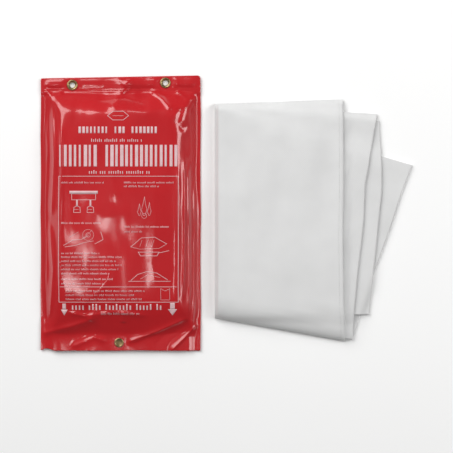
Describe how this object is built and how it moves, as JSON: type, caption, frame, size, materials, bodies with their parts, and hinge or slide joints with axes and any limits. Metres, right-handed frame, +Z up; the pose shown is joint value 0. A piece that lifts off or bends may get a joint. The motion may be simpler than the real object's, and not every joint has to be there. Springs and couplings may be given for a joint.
{
  "type": "fire blanket set",
  "caption": "Red film pouch with hanging eyelets and a press-stud mouth, holding a folded glass-cloth fire blanket, with a second folded blanket beside it.",
  "frame": {"origin": "under the middle of the whole set, on the surface it lies on", "axes": "+Z up out of the surface, +Y from the pouch's mouth towards its eyelets, +X from the pouch towards the loose blanket"},
  "size_m": [0.5006, 0.371, 0.0231],
  "materials": {
    "film": "glossy soft PVC film",
    "brass": "rolled, lightly tarnished",
    "cloth": "matte woven glass cloth",
    "tape": "matte woven webbing",
    "ink": "screen-printed white ink"
  },
  "bodies": {
    "pouch": {"back_panel": "film", "front_panel": "film", "side_weld_left": "film", "side_weld_right": "film", "header_stiffener": "film", "eyelet_left": "brass", "eyelet_right": "brass", "eyelet_washer_left": "brass", "eyelet_washer_right": "brass", "stud_rivet": "brass", "stud_ball": "brass"},
    "mouth_flap": {"mouth_flap": "film", "stud_socket": "brass", "stud_cap": "brass"},
    "packed_blanket": {"packed_blanket": "cloth", "pull_tape_left": "tape", "pull_tape_right": "tape"},
    "loose_blanket": {"folded_blanket": "cloth"},
    "blanket_top_leaf": {"blanket_top_leaf": "cloth"}
  },
  "joints": [
    {"name": "mouth_flap_hinge", "type": "hinge", "parent": "pouch", "child": "mouth_flap", "pos_m": [-0.142, -0.1405, 0.02285], "axis": [-1, 0, 0], "range_deg": [0, 70]},
    {"name": "packed_blanket_slide", "type": "slide", "parent": "pouch", "child": "packed_blanket", "axis": [0, -1, 0], "range_m": [0, 0.345], "deforming": ["packed_blanket"]},
    {"name": "loose_blanket_lift", "type": "slide", "parent": "pouch", "child": "loose_blanket", "axis": [0, 0, 1], "range_m": [0, 0.1]},
    {"name": "top_leaf_hinge", "type": "hinge", "parent": "loose_blanket", "child": "blanket_top_leaf", "pos_m": [-0.01575, 0, 0.01905], "axis": [0, -1, 0], "range_deg": [0, 150]}
  ]
}
